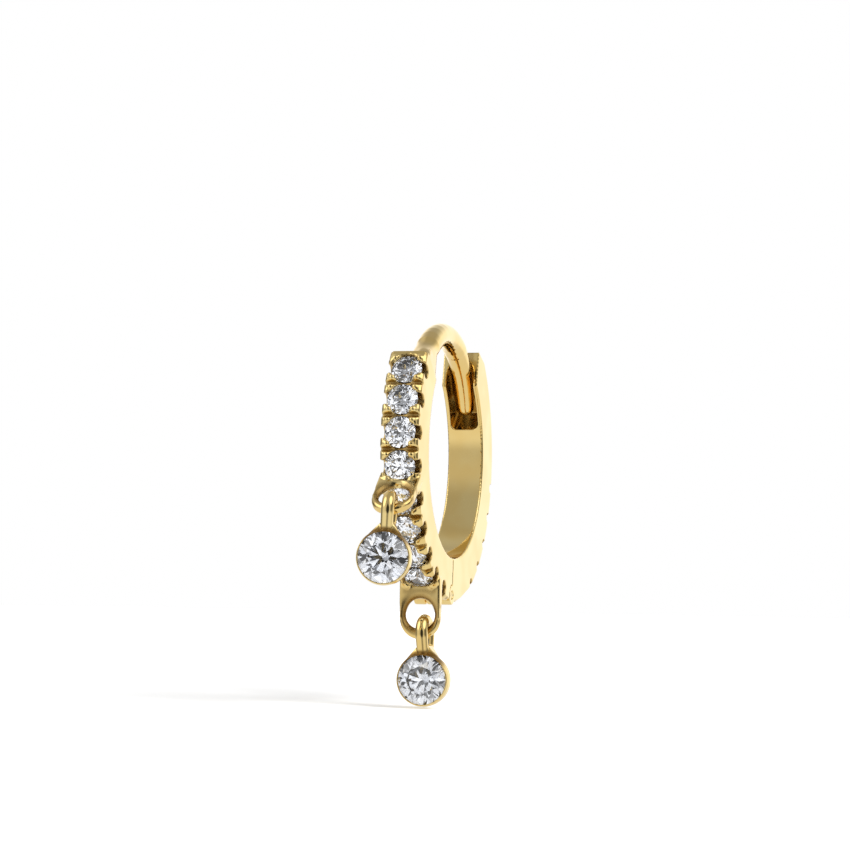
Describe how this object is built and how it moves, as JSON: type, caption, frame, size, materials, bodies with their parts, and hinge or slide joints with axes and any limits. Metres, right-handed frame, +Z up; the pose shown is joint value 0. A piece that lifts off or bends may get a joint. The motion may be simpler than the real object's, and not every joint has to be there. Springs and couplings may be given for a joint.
{
  "type": "hoop charm earring",
  "caption": "Hinged hoop earring with a row of small pave stones and two bezel set drops hanging from loops on its front.",
  "frame": {"origin": "on the centre line of the ear wire at the top of the hoop, where the ear carries the earring", "axes": "+Z up as worn, the hoop stands in the YZ plane, the stones and drops face -Y, X is the hoop's axis and the hinge's"},
  "size_m": [0.0019, 0.0108, 0.0118],
  "materials": {
    "gold": "polished 14 carat yellow gold",
    "stone": "cut and polished, colourless"
  },
  "bodies": {
    "front": {"front_half": "gold", "hinge_pin": "gold", "front_stone_1": "stone", "front_stone_2": "stone", "front_stone_3": "stone", "front_stone_4": "stone", "front_stone_5": "stone", "front_stone_6": "stone", "front_stone_7": "stone", "front_stone_8": "stone", "front_stone_9": "stone"},
    "back": {"back_half": "gold", "back_stone_1": "stone", "back_stone_2": "stone", "back_stone_3": "stone", "back_stone_4": "stone", "back_stone_5": "stone"},
    "upper_drop": {"upper_setting": "gold", "upper_stone": "stone"},
    "lower_drop": {"lower_setting": "gold", "lower_stone": "stone"}
  },
  "joints": [
    {"name": "hoop_hinge", "type": "hinge", "parent": "front", "child": "back", "pos_m": [0, -0.00035, -0.00805], "axis": [-1, 0, 0], "range_deg": [0, 50]},
    {"name": "upper_drop_swing", "type": "hinge", "parent": "front", "child": "upper_drop", "pos_m": [0, -0.00541, -0.00558], "axis": [1, 0, 0], "range_deg": [-80, 45]},
    {"name": "lower_drop_swing", "type": "hinge", "parent": "front", "child": "lower_drop", "pos_m": [0, -0.00187, -0.0092], "axis": [1, 0, 0], "range_deg": [-80, 80]}
  ]
}
